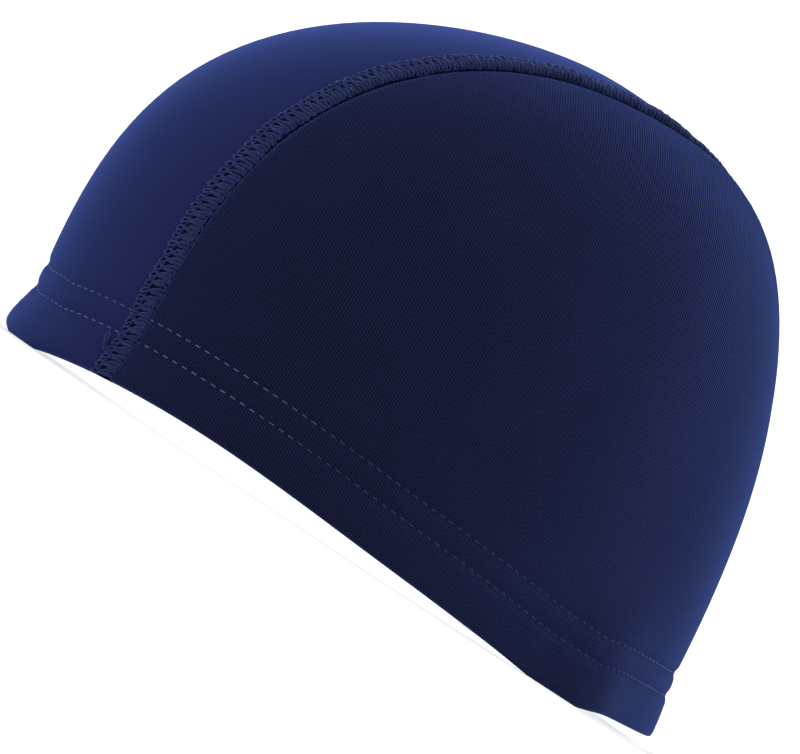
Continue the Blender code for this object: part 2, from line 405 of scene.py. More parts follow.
@dataclass(frozen=True)
class SeamLine:
    """The path of one join over the cap, measured along its length."""

    form: CapForm
    side: Side
    points: int = 700
    # Slow waves that the thread's pull puts in the join: wavelength, sideways, outwards.
    puckers: Rows = (
        (0.0270, 0.00022, 0.00008),
        (0.0163, 0.00014, 0.00010),
        (0.0091, 0.00006, 0.00005),
    )
    # How far each wave is turned from the one before, and the rise from the sideways sway.
    wave_turn: float = 1.7
    rise_turn: float = 1.1

    def __post_init__(self) -> None:
        """Works out the line and the directions along, across and out of it."""
        front = self.form.rim_crossing(0.0, True)
        back = self.form.rim_crossing(0.0, False)
        y = np.linspace(front, back, self.points)
        x = self.form.join(y) * self.side.value
        line = self.form.dome(x, y)
        out = self.form.outward(x, y)
        line = line - out * self.form.pinch(self.form.height_at(x, y))[:, None]
        steps = np.linalg.norm(np.diff(line, axis=0), axis=1)
        gone = np.concatenate([[0.0], np.cumsum(steps)])
        along = np.gradient(line, gone, axis=0)
        along /= np.linalg.norm(along, axis=1, keepdims=True)
        out = out - along * (out * along).sum(1)[:, None]
        out /= np.linalg.norm(out, axis=1, keepdims=True)
        toward_ear = np.cross(along, out) * self.side.value
        keep = object.__setattr__
        keep(self, "gone", gone)
        keep(self, "line", line)
        keep(self, "out", out)
        keep(self, "ear", toward_ear)

    @property
    def length(self) -> float:
        """Length of the join from rim to rim."""
        return float(self.gone[-1])

    def lay(self, places: np.ndarray) -> np.ndarray:
        """Lays flat places on the join.

        Args:
            places: rows of distance along, distance across towards the ear, and rise.

        Returns:
            One row of X, Y and Z for each place.
        """
        along, across, rise = places[:, 0], places[:, 1].copy(), places[:, 2].copy()
        for number, (wave, sideways, outwards) in enumerate(self.puckers):
            phase = 2 * math.pi * along / wave + self.wave_turn * number
            across += sideways * np.sin(phase)
            rise += outwards * np.sin(phase + self.rise_turn)
        point = np.stack([np.interp(along, self.gone, self.line[:, i]) for i in range(3)], -1)
        out = np.stack([np.interp(along, self.gone, self.out[:, i]) for i in range(3)], -1)
        ear = np.stack([np.interp(along, self.gone, self.ear[:, i]) for i in range(3)], -1)
        return point + ear * across[:, None] + out * rise[:, None]


Value = Union["Signal", float]


class Signal:
    """One output socket, with the operators that shader maths needs."""

    def __init__(self, graph: "Graph", socket: bpy.types.NodeSocket) -> None:
        """Keeps the socket and the graph that it is in."""
        self.graph = graph
        self.socket = socket

    def _join(self, operation: str, first: Value, second: Value) -> "Signal":
        """Adds one Math node."""
        return self.graph.node("ShaderNodeMath", {"operation": operation}, {0: first, 1: second})

    def __add__(self, other: Value) -> "Signal":
        """self + other."""
        return self._join("ADD", self, other)

    def __sub__(self, other: Value) -> "Signal":
        """self - other."""
        return self._join("SUBTRACT", self, other)

    def __rsub__(self, other: Value) -> "Signal":
        """other - self."""
        return self._join("SUBTRACT", other, self)

    def __mul__(self, other: Value) -> "Signal":
        """self * other."""
        return self._join("MULTIPLY", self, other)

    def __pow__(self, other: Value) -> "Signal":
        """self ** other."""
        return self._join("POWER", self, other)

    def wave(self) -> "Signal":
        """The sine, in radians."""
        return self._join("SINE", self, 0.0)

    def size(self) -> "Signal":
        """The value without its sign."""
        return self._join("ABSOLUTE", self, 0.0)

    def over(self, limit: float, soft: float) -> "Signal":
        """0 below a limit and 1 past it, with a soft step."""
        links = {"Value": self, "From Min": limit, "From Max": limit + soft}
        return self.graph.node("ShaderNodeMapRange", {"interpolation_type": "SMOOTHSTEP"}, links)


class Graph:
    """The node tree of one material."""

    def __init__(self, name: str) -> None:
        """Starts an empty material.

        Args:
            name: the material's name.
        """
        self.material = bpy.data.materials.new(name)
        self.material.use_nodes = True
        self.tree = self.material.node_tree
        self.tree.nodes.clear()

    def node(
        self,
        kind: str,
        settings: Optional[dict[str, Any]] = None,
        inputs: Optional[dict[Union[int, str], Any]] = None,
        output: Union[int, str] = 0,
    ) -> Signal:
        """Adds one node.

        Args:
            kind: the node's type.
            settings: its own properties, set before its sockets.
            inputs: a value or a signal for each named or numbered socket.
            output: the socket that is returned.

        Returns:
            The wanted output.
        """
        made = self.tree.nodes.new(kind)
        for name, value in (settings or {}).items():
            if name == "stops":
                self._set_stops(made.color_ramp, value)
            else:
                setattr(made, name, value)
        for name, value in (inputs or {}).items():
            if isinstance(value, Signal):
                self.tree.links.new(value.socket, made.inputs[name])
            else:
                made.inputs[name].default_value = value
        return Signal(self, made.outputs[output])

    @staticmethod
    def _set_stops(ramp: bpy.types.ColorRamp, stops: Sequence[tuple[float, Any]]) -> None:
        """Gives a colour ramp its stops.

        Args:
            ramp: the colour ramp.
            stops: a place and a colour for each stop.
        """
        while len(ramp.elements) < len(stops):
            ramp.elements.new(1.0)
        for element, (place, colour) in zip(ramp.elements, stops):
            element.position = place
            element.color = colour

    def blend(self, factor: Value, first: Any, second: Any) -> Signal:
        """Mixes two colours.

        Args:
            factor: 0 for the first, 1 for the second.
            first: a colour or a signal.
            second: a colour or a signal.

        Returns:
            The mixed colour.
        """
        settings = {"data_type": "RGBA"}
        return self.node("ShaderNodeMix", settings, {0: factor, 6: first, 7: second}, 2)

    def noise(self, where: Signal, scale: float, detail: float = 2.0, rough: float = 0.5) -> Signal:
        """Soft noise from 0 to 1 over a vector."""
        links = {"Vector": where, "Scale": scale, "Detail": detail, "Roughness": rough}
        return self.node("ShaderNodeTexNoise", {"noise_dimensions": "3D"}, links, "Fac")

    def bump(self, height: Signal, distance: float, strength: float = 1.0) -> Signal:
        """A normal bent by a height that is given from 0 to 1."""
        links = {"Strength": strength, "Distance": distance, "Height": height}
        return self.node("ShaderNodeBump", {}, links)

    def close(self, surface: dict[Union[int, str], Any]) -> bpy.types.Material:
        """Ends the tree in a Principled shader.

        Args:
            surface: a value or a signal for each named socket of the shader.

        Returns:
            The finished material.
        """
        shader = self.node("ShaderNodeBsdfPrincipled", {}, surface)
        output = self.tree.nodes.new("ShaderNodeOutputMaterial")
        self.tree.links.new(shader.socket, output.inputs["Surface"])
        return self.material


Colour = tuple[float, float, float, float]


@dataclass(frozen=True)
class KnitFinish:
    """Fine ribbed nylon knit, matt with a soft sheen, with painted light on the ribs' ridges and
    painted shade in their grooves.
    """

    name: str
    # Painted light and shade: the first colour is the lit tops of the ribs, the second the shaded
    # grooves between them.
    lit_ridge: Colour
    shaded_groove: Colour
    sheen: Colour
    rib_pitch: float = 0.00074
    stitch_pitch: float = 0.00058
    rib_depth: float = 0.00026
    rib_contrast: float = 0.85
    sheen_weight: float = 0.34
    # Towards the nape the knit is stretched smoother: start and length along Y, share.
    smooth_from: float = 0.020
    smooth_over: float = 0.060
    smoothness: float = 0.92
    sheen_roughness: float = 0.46
    roughness: float = 0.85
    specular: float = 0.0
    # Profile of a rib: power, and mean height where the rib isn't seen.
    rib_power: float = 1.2
    rib_mean: float = 0.62
    # Shares of ribs, loops and grain in the relief, and of the last three in the tone.
    relief: Sequence[float] = (0.72, 0.16, 0.22)
    loop_tone: float = 0.14
    grain_tone: float = 0.8
    patch_tone: float = 0.3
    # The knit's loops lean with the ribs, which sway a little.
    loop_lean: float = 2.0
    sway: float = 0.9
    sway_scale: float = 90.0
    # Fine grain and broad patches: scale, roughness.
    grain: Sequence[float] = (2600.0, 0.6)
    patch: Sequence[float] = (34.0, 0.55)
    detail: float = 3.0

    def build(self) -> bpy.types.Material:
        """Makes the material, whose ribs follow the piece's own UV map in metres.

        Returns:
            The finished material.
        """
        graph = Graph(self.name)
        where = graph.node("ShaderNodeTexCoord", output="Object")
        flat = graph.node("ShaderNodeUVMap", {"uv_map": "cut"})
        across = graph.node("ShaderNodeSeparateXYZ", {}, {0: flat}, "X")
        along = graph.node("ShaderNodeSeparateXYZ", {}, {0: flat}, "Y")
        sway = graph.noise(where, self.sway_scale) * self.sway
        turns = across * (math.pi / self.rib_pitch) + sway
        place = graph.node("ShaderNodeSeparateXYZ", {}, {0: where}, "Y")
        smooth = place.over(self.smooth_from, self.smooth_over) * self.smoothness
        rib = turns.wave().size() * (1 - smooth) + smooth * self.rib_mean
        steps = along * (2 * math.pi / self.stitch_pitch) + turns * self.loop_lean
        loops = steps.wave() * 0.5 + 0.5
        grain = graph.noise(where, self.grain[0], self.detail, self.grain[1])
        patch = graph.noise(where, self.patch[0], self.detail, self.patch[1])
        of_rib, of_loops, of_grain = self.relief
        height = rib * of_rib + loops * of_loops + grain * of_grain
        plain = self.rib_mean * (1 - self.rib_contrast)
        tone = (rib**self.rib_power) * self.rib_contrast + plain
        tone = tone + (loops - 0.5) * self.loop_tone
        tone = tone + (grain - 0.5) * self.grain_tone + (patch - 0.5) * self.patch_tone
        # Painted shade in the rib grooves and painted light on the ridges, following the rib
        # profile.
        colour = graph.blend(tone, self.shaded_groove, self.lit_ridge)
        return graph.close(
            {
                "Base Color": colour,
                "Roughness": self.roughness,
                "Specular IOR Level": self.specular,
                "Sheen Weight": self.sheen_weight,
                "Sheen Roughness": self.sheen_roughness,
                "Sheen Tint": self.sheen,
                "Normal": graph.bump(height, self.rib_depth),
            }
        )


@dataclass(frozen=True)
class ThreadFinish:
    """Textured nylon sewing thread."""

    name: str
    light: Colour
    dark: Colour
    sheen: Colour
    sheen_weight: float = 0.2
    sheen_roughness: float = 0.4
    roughness: float = 0.8
    specular: float = 0.05
    fibre_depth: float = 0.00006
    # Fine fibres: scale, detail, roughness.
    fibre: Sequence[float] = (5200.0, 3.0, 0.65)
    patch_scale: float = 260.0
    patchiness: float = 0.3
    # Painted shade: over the middle of each side, along Y, the thread's colour is darkened where
    # its sheen fades.
    shade_start: float = -0.072
    shade_end: float = 0.048
    shade_fade: float = 0.028
    painted_shade: float = 0.0

    def build(self) -> bpy.types.Material:
        """Makes the material, with the fine streaks of the thread's filaments.

        Returns:
            The finished material.
        """
        graph = Graph(self.name)
        where = graph.node("ShaderNodeTexCoord", output="Object")
        fibre = graph.noise(where, *self.fibre)
        patch = graph.noise(where, self.patch_scale)
        share = fibre * (1 - self.patchiness) + patch * self.patchiness
        place = graph.node("ShaderNodeSeparateXYZ", {}, {0: where}, "Y")
        # Painted shade: the thread's colour is darkened over the middle of each side.
        middle = place.over(self.shade_start, self.shade_fade)
        middle = middle * (1 - place.over(self.shade_end, self.shade_fade))
        share = share * (1 - middle * self.painted_shade)
        colour = graph.blend(share, self.dark, self.light)
        return graph.close(
            {
                "Base Color": colour,
                "Roughness": self.roughness,
                "Specular IOR Level": self.specular,
                "Sheen Weight": self.sheen_weight,
                "Sheen Roughness": self.sheen_roughness,
                "Sheen Tint": self.sheen,
                "Normal": graph.bump(fibre, self.fibre_depth),
            }
        )


@dataclass(frozen=True)
class PaleFloor:
    """A plain matt white floor."""

    colour: Colour = (0.95, 0.95, 0.95, 1.0)
    roughness: float = 0.9
    specular: float = 0.1

    def build(self) -> bpy.types.Material:
        """Makes the material.

        Returns:
            The finished material.
        """
        surface = {
            "Base Color": self.colour,
            "Roughness": self.roughness,
            "Specular IOR Level": self.specular,
        }
        return Graph("pale_floor").close(surface)


def add_mesh(name: str, shape: bmesh.types.BMesh) -> bpy.types.Object:
    """Turns a finished mesh into an object at the origin.

    Args:
        name: the piece's name.
        shape: its mesh, which is freed.

    Returns:
        The new object, smooth-shaded.
    """
    mesh = bpy.data.meshes.new(name)
    shape.to_mesh(mesh)
    shape.free()
    mesh.shade_smooth()
    piece = bpy.data.objects.new(name, mesh)
    bpy.context.scene.collection.objects.link(piece)
    return piece


def report(piece: bpy.types.Object) -> None:
    """Logs one finished piece."""
    LOG.info("%s: %d faces", piece.name, len(piece.data.polygons))


@dataclass
class ClothPanels:
    """The three panels of knit, cut from one chart and turned up at the hem."""

    form: CapForm
    centre_finish: KnitFinish
    side_finish: KnitFinish
    # How far from the join the cloth's edges lie, under the band.
    centre_edge: float = -0.0018
    ear_edge: float = 0.0018
    # Lines of extra points across the side panel's dip, by distance from the join.
    dip_lines: Sequence[float] = (0.0025, 0.0030, 0.0036, 0.0042, 0.0050, 0.0062, 0.0080, 0.0105)
    rim_steps: Sequence[float] = (0.0, 0.06, 0.24, 0.55, 1.0)
    hem_rings: int = 34
    crown_rings: int = 46
    # The fine rings reach this far above the hem.
    fine_margin: float = 0.004
    cut_snap: float = 1e-5
    weld: float = 2e-6
    # Metres along the centre panel for one unit of chart y, which only sets the ribs.
    centre_scale: float = 0.21
    width_points: int = 9
    turn_points: int = 25

    def rings(self) -> list[float]:
        """Chart radius of each ring of the mesh, from the crown to the rim.

        Returns:
            The radii, growing.
        """
        form = self.form
        top = form.hem_height + self.fine_margin
        turned = form.fabric_thickness
        heights = [share * turned for share in self.rim_steps]
        heights += list(np.linspace(turned, top, self.hem_rings)[1:])
        low = [1 - height / form.climb_length for height in reversed(heights)]
        high = [low[0] * i / self.crown_rings for i in range(self.crown_rings)]
        return high + low

    @staticmethod
    def disc_place(column: int, row: int, rings: Sequence[float]) -> tuple[float, float]:
        """Place on the disc of one point of a square grid, whose rings become circles.

        Args:
            column: the point's column, counted from the middle.
            row: the point's row, counted from the middle.
            rings: radius of each ring.

        Returns:
            Chart x and y.
        """
        ring = max(abs(column), abs(row))
        if ring == 0:
            return 0.0, 0.0
        if abs(column) >= abs(row):
            angle = math.pi / 4 * row / column + (math.pi if column < 0 else 0.0)
        else:
            angle = QUARTER_TURN - math.pi / 4 * column / row + (math.pi if row < 0 else 0.0)
        return rings[ring] * math.cos(angle), rings[ring] * math.sin(angle)

    def chart(self) -> bmesh.types.BMesh:
        """The whole disc as one flat grid.

        Returns:
            The flat mesh, in chart units.
        """
        rings = self.rings()
        reach = len(rings) - 1
        span = range(-reach, reach + 1)
        flat = bmesh.new()
        verts = {
            (column, row): flat.verts.new((*self.disc_place(column, row, rings), 0.0))
            for row in span
            for column in span
        }
        for row in span[:-1]:
            for column in span[:-1]:
                near = [verts[column, row], verts[column + 1, row]]
                far = [verts[column + 1, row + 1], verts[column, row + 1]]
                flat.faces.new(near + far)
        return flat

    def cut(
        self, flat: bmesh.types.BMesh, distance: float, side: int, inside: Optional[bool]
    ) -> None:
        """Cuts the chart along a line beside one join.

        The chart is squeezed until the line is straight, and let out again after the cut.

        Args:
            flat: the chart.
            distance: how far the line lies from the join, towards the ear.
            side: 1 for the left join, -1 for the right.
            inside: whether the crown's side of the line is kept. None keeps both.
        """
        for sense in (-1, 1):
            places = np.array([vert.co[:2] for vert in flat.verts])
            width = self.form.beside_join(places[:, 1], distance) ** sense
            for vert, x in zip(flat.verts, places[:, 0] * width):
                vert.co.x = x
            if sense == 1:
                break
            bmesh.ops.bisect_plane(
                flat,
                geom=flat.verts[:] + flat.edges[:] + flat.faces[:],
                dist=self.cut_snap,
                plane_co=(side, 0, 0),
                plane_no=(side, 0, 0),
                clear_outer=inside is True,
                clear_inner=inside is False,
            )

    def depths(self, height: np.ndarray) -> tuple[np.ndarray, np.ndarray]:
        """Depth of the outer and the inner face below the dome, round at the rim.

        Args:
            height: distance up the cloth from the rim.

        Returns:
            The outer face's depth and the inner face's.
        """
        thick = self.form.fabric_thickness
        layers = 2 - ease((height - self.form.hem_height) / thick)
        low = np.clip(1 - height / thick, 0.0, 1.0)
        bulge = thick * np.sqrt(1 - low**2)
        outer = np.where(height < thick, thick - bulge, 0.0)
        inner = np.where(height < thick, thick + bulge, thick * layers)
        return outer, inner

    def shell(self, name: str, flat: bmesh.types.BMesh, cut: np.ndarray) -> bpy.types.Object:
        """Wraps a flat piece on the dome as closed cloth.

        Args:
            name: the piece's name.
            flat: the flat piece, which is freed.
            cut: place of each vertex on the flat cloth, in metres.

        Returns:
            The panel, with its UV map.
        """
        flat.verts.index_update()
        places = np.array([vert.co[:2] for vert in flat.verts])
        x, y = places[:, 0], places[:, 1]
        outer_depth, inner_depth = self.depths(self.form.height_at(x, y))
        outer = self.form.cloth(x, y, -outer_depth)
        inner = self.form.cloth(x, y, -inner_depth)
        shell = bmesh.new()
        uv = shell.loops.layers.uv.new("cut")
        top = [shell.verts.new(point) for point in outer]
        under = [shell.verts.new(point) for point in inner]
        walls = []
        for face in flat.faces:
            walls.append((top, [vert.index for vert in face.verts]))
            walls.append((under, [vert.index for vert in reversed(face.verts)]))
        for layer, corners in walls:
            made = shell.faces.new([layer[corner] for corner in corners])
            for loop, corner in zip(made.loops, corners):
                loop[uv].uv = cut[corner]
        for edge in flat.edges:
            if not edge.is_boundary:
                continue
            loop = edge.link_loops[0]
            a, b = loop.vert.index, loop.link_loop_next.vert.index
            made = shell.faces.new((top[b], top[a], under[a], under[b]))
            for loop, corner in zip(made.loops, (b, a, a, b)):
                loop[uv].uv = cut[corner]
        flat.free()
        bmesh.ops.remove_doubles(shell, verts=shell.verts[:], dist=self.weld)
        return add_mesh(name, shell)

    def centre_cut(self, flat: bmesh.types.BMesh) -> np.ndarray:
        """Place of the centre panel's points on its flat cloth.

        Args:
            flat: the panel on the chart.

        Returns:
            One row for each point: metres across, then along.
        """
        places = np.array([vert.co[:2] for vert in flat.verts])
        shares = np.linspace(0, 1, self.width_points)
        across = np.zeros(len(places))
        before = self.form.dome(np.zeros(len(places)), places[:, 1])
        for share in shares[1:]:
            point = self.form.dome(places[:, 0] * share, places[:, 1])
            across += np.linalg.norm(point - before, axis=1)
            before = point
        across *= np.sign(places[:, 0])
        return np.stack([across, places[:, 1] * self.centre_scale], -1)

    def side_cut(self, flat: bmesh.types.BMesh) -> np.ndarray:
        """Place of a side panel's points on its flat cloth.

        Args:
            flat: the panel on the chart.

        Returns:
            One row for each point: metres round the head from the ear, then up.
        """
        places = np.array([vert.co[:2] for vert in flat.verts])
        radius = np.hypot(places[:, 0], places[:, 1])
        turn = np.arctan2(places[:, 1], np.abs(places[:, 0]))
        across = np.zeros(len(places))
        before = self.form.dome(radius, np.zeros(len(places)))
        for share in np.linspace(0, 1, self.turn_points)[1:]:
            point = self.form.dome(radius * np.cos(turn * share), radius * np.sin(turn * share))
            across += np.linalg.norm(point - before, axis=1)
            before = point
        up = (1 - radius) * self.form.climb_length
        return np.stack([across * np.sign(turn), up], -1)

    def build(self) -> None:
        """Cuts the chart into the centre panel and the two side panels, wraps each on the dome with
        its knit, and hides the imported panels.
        """
        flat = self.chart()
        self.cut(flat, self.centre_edge, 1, True)
        self.cut(flat, self.centre_edge, -1, True)
        centre = self.shell("centre_cloth", flat, self.centre_cut(flat))
        centre.data.materials.append(self.centre_finish.build())
        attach(centre, BODY)
        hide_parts("centre_panel")
        report(centre)
        side_material = self.side_finish.build()
        for side in Side:
            flat = self.chart()
            self.cut(flat, self.ear_edge, side.value, False)
            for distance in self.dip_lines:
                self.cut(flat, distance, side.value, None)
            panel = self.shell(f"{side.word}_cloth", flat, self.side_cut(flat))
            panel.data.materials.append(side_material)
            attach(panel, BODY)
            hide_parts(f"{side.word}_panel")
            report(panel)


@dataclass
class OverlockBand:
    """One raised seam: folded cloth edges under loops of looper and needle thread."""

    line: SeamLine
    core_material: bpy.types.Material
    thread_material: bpy.types.Material
    stitch: float = 0.00215
    slant: float = 0.32
    thread: float = 0.00050
    needle_thread: float = 0.00040
    jitter: float = 0.00009
    # The needle threads lie more evenly than the looper's.
    needle_evenness: float = 0.6
    looper_seed: int = 7
    seed_scale: float = 1e6
    # The threads stop this far from the rim.
    end_clear: float = 0.0002
    core_step: float = 0.001
    # Section of the folded edges: place across, rise.
    core: Rows = (
        (-0.0024, -0.0002),
        (-0.0019, 0.0001),
        (-0.0008, 0.0004),
        (0.0008, 0.0005),
        (0.0018, 0.0003),
        (0.0024, -0.0003),
        (0.0021, -0.0009),
        (-0.0021, -0.0009),
    )
    # The looper thread over the band: place across, rise, half gap between the legs of
    # one loop as a share of a stitch, thickness as a share of the thread.
    loop: Rows = (
        (-0.00265, 0.00015, 0.00, 1.20),
        (-0.00235, 0.00038, 0.20, 1.20),
        (-0.00170, 0.00055, 0.34, 1.10),
        (-0.00105, 0.00066, 0.24, 1.10),
        (-0.00040, 0.00074, 0.12, 1.15),
        (0.00015, 0.00078, 0.12, 1.20),
        (0.00085, 0.00082, 0.22, 1.60),
        (0.00170, 0.00072, 0.25, 1.80),
        (0.00230, 0.00042, 0.25, 1.80),
        (0.00262, -0.00010, 0.25, 1.75),
        (0.00250, -0.00050, 0.25, 1.70),
    )
    # The two needle lines: place across, rise, start as a share of a stitch.
    needles: Rows = (
        (-0.00225, 0.00045, 0.50),
        (-0.00075, 0.00080, 0.00),
    )
    # One stitch of a needle thread: place along as a share of the stitch, rise.
    needle_stitch: Rows = (
        (0.00, -0.0007),
        (0.12, -0.0001),
        (0.32, 0.0),
        (0.68, 0.0),
        (0.88, -0.0001),
    )
    # A thread end that has slipped out near the brow: along, across, rise, thickness.
    loose_end: Rows = (
        (0.0066, -0.00180, 0.00050, 1.0),
        (0.0064, -0.00265, 0.00065, 1.1),
        (0.0071, -0.00390, 0.00080, 1.3),
        (0.0083, -0.00470, 0.00090, 1.3),
        (0.0093, -0.00500, 0.00095, 1.3),
        (0.0099, -0.00480, 0.00100, 1.3),
        (0.0098, -0.00425, 0.00105, 1.3),
        (0.0090, -0.00375, 0.00110, 1.3),
        (0.0079, -0.00375, 0.00120, 1.3),
        (0.0069, -0.00395, 0.00110, 1.2),
        (0.0060, -0.00340, 0.00080, 1.1),
        (0.0056, -0.00250, 0.00060, 1.0),
        (0.0058, -0.00160, 0.00050, 1.0),
    )

    def spread(self, rng: np.random.Generator, count: int) -> np.ndarray:
        """Small random shifts, so that no two stitches are alike."""
        return rng.normal(0.0, self.jitter, (count, 3))

    def core_piece(self) -> bpy.types.Object:
        """The folded edges of the cloth that the stitches enclose.

        Returns:
            The closed core, without its material.
        """
        rows = int(self.line.length / self.core_step)
        shape = bmesh.new()
        section = np.array(self.core)
        rings = []
        for along in np.linspace(0.0, self.line.length, rows):
            places = np.column_stack([np.full(len(section), along), section])
            rings.append([shape.verts.new(point) for point in self.line.lay(places)])
        count = len(section)
        for near, far in zip(rings, rings[1:]):
            for i in range(count):
                j = (i + 1) % count
                shape.faces.new((near[i], near[j], far[j], far[i]))
        shape.faces.new(rings[0])
        shape.faces.new(reversed(rings[-1]))
        bmesh.ops.recalc_face_normals(shape, faces=shape.faces[:])
        return add_mesh(f"{self.line.side.word}_seam_core", shape)

    def looper_path(self) -> np.ndarray:
        """Flat places of the looper thread, stitch after stitch.

        Returns:
            Rows of distance along, distance across, rise and share of thickness.
        """
        rng = np.random.default_rng(self.looper_seed + self.line.side.value)
        legs = np.array(self.loop)
        up = legs[::-1]
        down = legs[1:]
        path = []
        for number in range(int(self.line.length / self.stitch)):
            middle = (number + 0.5) * self.stitch
            for leg, sign in ((up, -1), (down, 1)):
                along = middle + sign * leg[:, 2] * self.stitch + self.slant * leg[:, 0]
                places = np.column_stack([along, leg[:, 0], leg[:, 1], leg[:, 3]])
                places[:, :3] += self.spread(rng, len(places))
                path.append(places)
        return np.concatenate(path)

    def needle_path(self, across: float, rise: float, start: float) -> np.ndarray:
        """Flat places of one needle thread, which dives at the end of each stitch.

        Args:
            across: distance of the thread from the join.
            rise: its height over the cloth.
            start: where its first stitch starts, as a share of a stitch.

        Returns:
            Rows of distance along, distance across, rise and share of thickness.
        """
        seed = int(self.seed_scale * (across + 1)) + self.line.side.value
        rng = np.random.default_rng(seed)
        shares, arch = np.array(self.needle_stitch).T
        count = len(shares)
        path = []
        for number in range(int(self.line.length / self.stitch)):
            along = (number + start + shares) * self.stitch
            level = np.full(count, across)
            places = np.column_stack([along, level, rise + arch, np.ones(count)])
            places[:, :3] += self.spread(rng, count) * self.needle_evenness
            path.append(places)
        return np.concatenate(path)

    def strand(self, name: str, path: np.ndarray, thickness: float) -> bpy.types.Object:
        """A thread laid along flat places on the join.

        Args:
            name: the strand's name.
            path: rows of distance along, distance across, rise and share of thickness.
            thickness: the thread's width.

        Returns:
            The strand as a mesh.
        """
        path = path.copy()
        path[:, 0] = np.clip(path[:, 0], self.end_clear, self.line.length - self.end_clear)
        points = self.line.lay(path)
        curve = bpy.data.curves.new(name, "CURVE")
        curve.dimensions = "3D"
        curve.bevel_depth = thickness / 2
        curve.bevel_resolution = 1
        curve.resolution_u = 1
        curve.use_fill_caps = True
        spline = curve.splines.new("POLY")
        spline.points.add(len(points) - 1)
        flat = np.column_stack([points, np.ones(len(points))]).ravel()
        spline.points.foreach_set("co", flat)
        spline.points.foreach_set("radius", path[:, 3].copy())
        strand = bpy.data.objects.new(name, curve)
        bpy.context.scene.collection.objects.link(strand)
        bpy.ops.object.select_all(action="DESELECT")
        strand.select_set(True)
        bpy.context.view_layer.objects.active = strand
        bpy.ops.object.convert(target="MESH")
        strand.data.shade_smooth()
        return strand

    def build(self) -> None:
        """Makes the band's core and its threads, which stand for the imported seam."""
        word = self.line.side.word
        pieces = [self.core_piece()]
        pieces[0].data.materials.append(self.core_material)
        strands = [self.strand(f"{word}_seam_looper", self.looper_path(), self.thread)]
        for number, (across, rise, start) in enumerate(self.needles):
            path = self.needle_path(across, rise, start)
            strands.append(self.strand(f"{word}_needle_{number}", path, self.needle_thread))
        if self.line.side is Side.LEFT:
            loose = np.array(self.loose_end)
            strands.append(self.strand(f"{word}_loose_end", loose, self.needle_thread))
        for strand in strands:
            strand.data.materials.append(self.thread_material)
        pieces += strands
        for piece in pieces:
            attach(piece, BODY)
            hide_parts(f"{word}_seam")
            report(piece)


@dataclass
class HemStitching:
    """Two rows of short lockstitches round the hem."""

    form: CapForm
    finish: ThreadFinish
    pitch: float = 0.0028
    dash: float = 0.00150
    thickness: float = 0.00036
    bury: float = 0.00004
    # The ends of a stitch sink into the knit.
    end_sink: float = 0.00016
    sides: int = 8
    ring_count: int = 7
    middle_snap: float = 1e-6
    row_points: int = 2001
    turn_step: float = 0.002
    # No stitch lies nearer than this to a join, where the band covers the rows.
    seam_clear: float = 0.0030

    def stitch(self) -> bpy.types.Object:
        """One stitch, drawn flat along X: a short rod with rounded, sinking ends.

        Returns:
            The pattern, which is removed once it has been copied.
        """
        bpy.ops.object.select_all(action="DESELECT")
        bpy.ops.mesh.primitive_uv_sphere_add(
            segments=self.sides,
            ring_count=self.ring_count,
            radius=self.thickness / 2,
            rotation=(0, QUARTER_TURN, 0),
        )
        made = bpy.context.object
        bpy.ops.object.transform_apply(location=False, rotation=True, scale=False)
        half = (self.dash - self.thickness) / 2
        for vert in made.data.vertices:
            if abs(vert.co.x) > self.middle_snap:
                vert.co.x += math.copysign(half, vert.co.x)
            vert.co.z -= self.end_sink * (vert.co.x / (self.dash / 2)) ** 2
        return made

    def row(self, height: float) -> list[np.ndarray]:
        """Places of the middles of one row's stitches.

        Args:
            height: how far the row lies above the rim.

        Returns:
            The turn round the chart, the chart x and the chart y of each stitch.
        """
        radius = 1 - height / self.form.climb_length
        turn = np.linspace(0, 2 * math.pi, self.row_points)
        x, y = radius * np.cos(turn), radius * np.sin(turn)
        line = self.form.cloth(x, y, np.zeros(len(x)))
        gone = np.concatenate([[0], np.cumsum(np.linalg.norm(np.diff(line, axis=0), axis=1))])
        count = int(round(gone[-1] / self.pitch))
        middles = np.interp(np.arange(count) * gone[-1] / count, gone, turn)
        return [middles, radius * np.cos(middles), radius * np.sin(middles)]

    def build(self) -> None:
        """Makes both rows as one piece."""
        pattern = self.stitch()
        shape = bmesh.new()
        flat = bmesh.new()
        flat.from_mesh(pattern.data)
        corners = np.array([vert.co[:] for vert in flat.verts])
        faces = [[vert.index for vert in face.verts] for face in flat.faces]
        for height in (self.form.lower_row, self.form.upper_row):
            turns, xs, ys = self.row(height)
            away = (np.abs(xs) - self.form.join(ys)) * self.form.spread(ys)
            seat = self.form.cloth(xs, ys, np.full(len(xs), self.thickness / 2 - self.bury))
            out = self.form.outward(xs, ys)
            radius = 1 - height / self.form.climb_length
            next_turns = turns + self.turn_step
            ahead_x, ahead_y = radius * np.cos(next_turns), radius * np.sin(next_turns)
            ahead = self.form.cloth(ahead_x, ahead_y, np.zeros(len(xs)))
            along = ahead - self.form.cloth(xs, ys, np.zeros(len(xs)))
            along /= np.linalg.norm(along, axis=1, keepdims=True)
            for i in range(len(xs)):
                if abs(away[i]) < self.seam_clear:
                    continue
                up = np.cross(out[i], along[i])
                basis = np.stack([along[i], up, out[i]])
                verts = [shape.verts.new(point) for point in corners @ basis + seat[i]]
                for face in faces:
                    shape.faces.new([verts[corner] for corner in face])
        flat.free()
        bpy.data.objects.remove(pattern, do_unlink=True)
        bmesh.ops.recalc_face_normals(shape, faces=shape.faces[:])
        rows = add_mesh("hem_stitches", shape)
        rows.data.materials.append(self.finish.build())
        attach(rows, BODY)
        report(rows)


